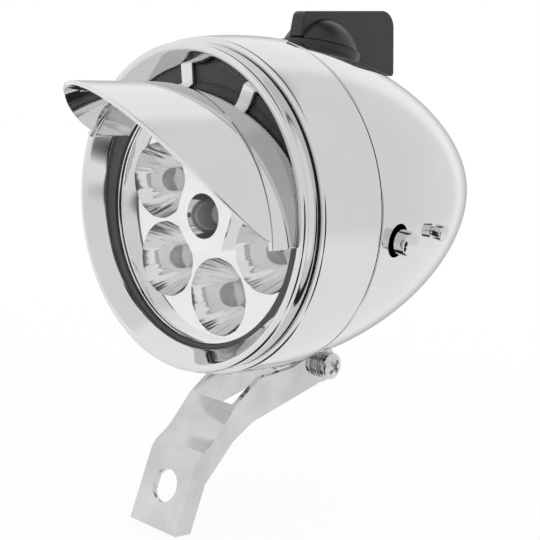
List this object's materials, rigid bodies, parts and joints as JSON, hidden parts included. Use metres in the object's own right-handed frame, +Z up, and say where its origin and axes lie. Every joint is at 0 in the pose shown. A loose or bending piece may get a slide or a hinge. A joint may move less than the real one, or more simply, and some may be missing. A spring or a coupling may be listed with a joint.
{
  "type": "bicycle headlight",
  "caption": "Retro bullet-shaped chrome bicycle headlight with a visor, LED reflector behind a clear lens, turn knob on top and a folded tilt bracket for a fork crown bolt.",
  "frame": {"origin": "middle of the bolt hole in the bracket's tab, half way through the sheet", "axes": "+Z up, the lamp shines along -Y, +X is the side with the latch stud"},
  "size_m": [0.072, 0.1149, 0.1063],
  "materials": {
    "chrome": "polished plating",
    "steel": "plain zinc plated",
    "black_plastic": "satin moulded",
    "black_rubber": "matte",
    "clear_lens": "clear, flat",
    "metallised_plastic": "vacuum metallised, mirror bright",
    "board_green": "solder mask",
    "led_clear": "clear epoxy",
    "cell_jacket": "plain jacket",
    "contact_brass": "plain"
  },
  "bodies": {
    "base": {"bracket": "chrome", "pivot_screw": "chrome", "spring_washer": "steel", "pivot_washers": "steel", "pivot_nut": "chrome"},
    "lamp": {"rear_shell": "chrome", "pivot_lug": "chrome", "lug_rivets": "chrome", "switch_body": "black_plastic", "switch_nut": "steel", "knob_base": "black_plastic", "latch_rivet": "chrome", "latch_spacer": "steel"},
    "switch": {"knob": "black_plastic", "switch_shaft": "steel"},
    "latch": {"latch_leaf": "steel", "latch_stud": "chrome"},
    "front_unit": {"front_shell": "chrome", "shell_sleeve": "steel", "shell_screw": "chrome", "bezel": "chrome", "bezel_seal": "black_rubber", "visor": "chrome", "gasket": "black_rubber", "lens": "clear_lens", "reflector": "metallised_plastic", "carrier": "black_plastic", "retaining_ring": "steel", "led_board": "board_green", "leds": "led_clear", "board_screws": "steel", "battery_holder": "black_plastic", "cells": "cell_jacket", "cell_contacts": "contact_brass"}
  },
  "joints": [
    {"name": "tilt", "type": "hinge", "parent": "base", "child": "lamp", "pos_m": [0, 0.0393, 0.02028], "axis": [-1, 0, 0], "range_deg": [-4, 25]},
    {"name": "knob_turn", "type": "hinge", "parent": "lamp", "child": "switch", "pos_m": [0, 0.04177, 0.08832], "axis": [0, 0.2181, 0.9759], "range_deg": [0, 90]},
    {"name": "latch_press", "type": "hinge", "parent": "lamp", "child": "latch", "pos_m": [0.02789, 0.0443, 0.05308], "axis": [-0.1219, 0, -0.9925], "range_deg": [0, 7], "stiffness_Nm_per_rad": 0.6},
    {"name": "front_off", "type": "slide", "parent": "lamp", "child": "front_unit", "axis": [0, -1, 0], "range_m": [0, 0.055]}
  ]
}
